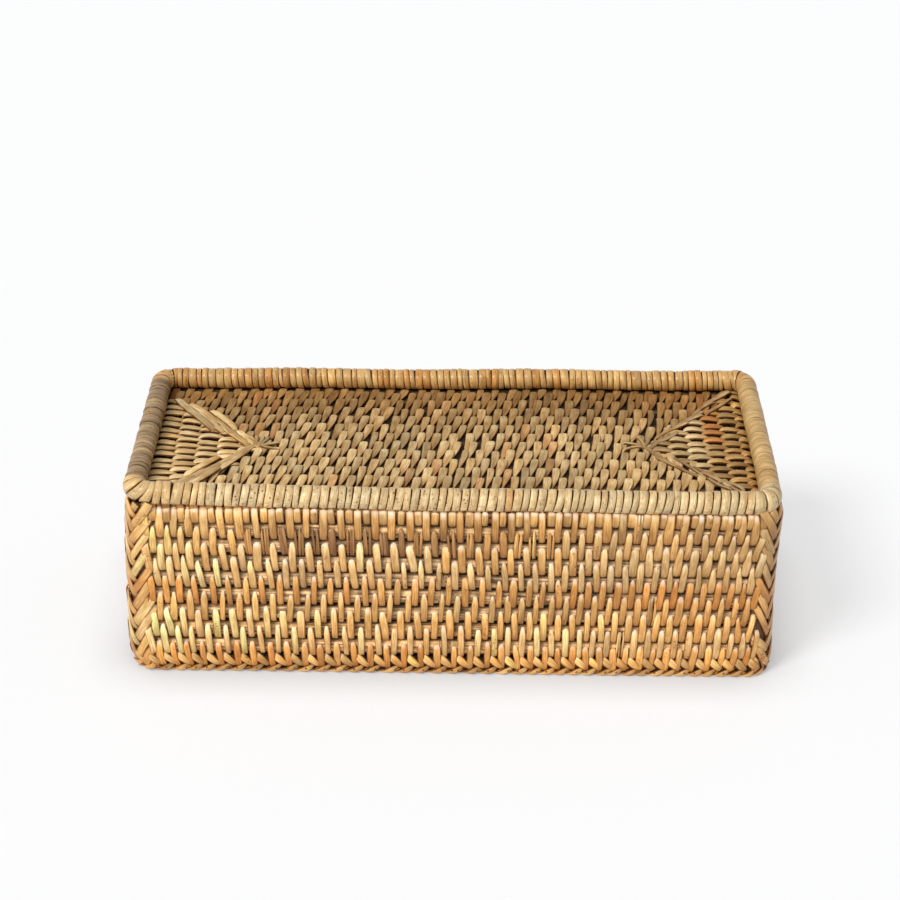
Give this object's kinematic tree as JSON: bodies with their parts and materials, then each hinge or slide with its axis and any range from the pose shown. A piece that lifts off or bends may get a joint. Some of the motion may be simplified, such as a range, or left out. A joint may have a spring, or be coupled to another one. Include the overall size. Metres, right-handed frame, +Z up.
{
  "type": "rattan bread basket",
  "caption": "Rectangular coiled rattan basket with straight walls, a handle slot in each short end, a plaited rim and a cane-wrapped foot ring, stored standing on its rim.",
  "frame": {"origin": "middle of the rim's underside, on the surface that the basket stands on as stored, upside down", "axes": "+X along the length, to the right in the picture; +Y to the back; +Z up, from the rim to the foot ring"},
  "size_m": [0.3, 0.13, 0.098],
  "materials": {
    "wall_rod": "satin",
    "rim_plait": "satin",
    "base_rod": "matte",
    "base_strip": "matte",
    "corner_plait": "satin",
    "slot_binding": "satin",
    "foot_core": "matte",
    "foot_wrap": "satin"
  },
  "bodies": {
    "root": {"wall_course_01": "wall_rod", "wall_course_02": "wall_rod", "wall_course_05": "wall_rod", "wall_course_06": "wall_rod", "wall_course_07": "wall_rod", "wall_course_08": "wall_rod", "wall_course_09": "wall_rod", "wall_course_10": "wall_rod", "wall_course_03_front": "wall_rod", "wall_course_03_back": "wall_rod", "wall_course_04_front": "wall_rod", "wall_course_04_back": "wall_rod", "rim_plait": "rim_plait", "base_core": "base_rod", "base_round_1": "base_rod", "base_round_2": "base_rod", "base_round_3": "base_rod", "base_round_4": "base_rod", "base_round_5": "base_rod", "base_round_6": "base_rod", "base_mitre_back_right": "base_strip", "corner_plait_back_right": "corner_plait", "slot_binding_back_right": "slot_binding", "base_mitre_back_left": "base_strip", "corner_plait_back_left": "corner_plait", "slot_binding_back_left": "slot_binding", "base_mitre_front_left": "base_strip", "corner_plait_front_left": "corner_plait", "slot_binding_front_left": "slot_binding", "base_mitre_front_right": "base_strip", "corner_plait_front_right": "corner_plait", "slot_binding_front_right": "slot_binding", "foot_rod_front": "foot_core", "foot_wrap_front": "foot_wrap", "foot_rod_back": "foot_core", "foot_wrap_back": "foot_wrap", "foot_rod_right": "foot_core", "foot_wrap_right": "foot_wrap", "foot_rod_left": "foot_core", "foot_wrap_left": "foot_wrap"}
  },
  "joints": []
}
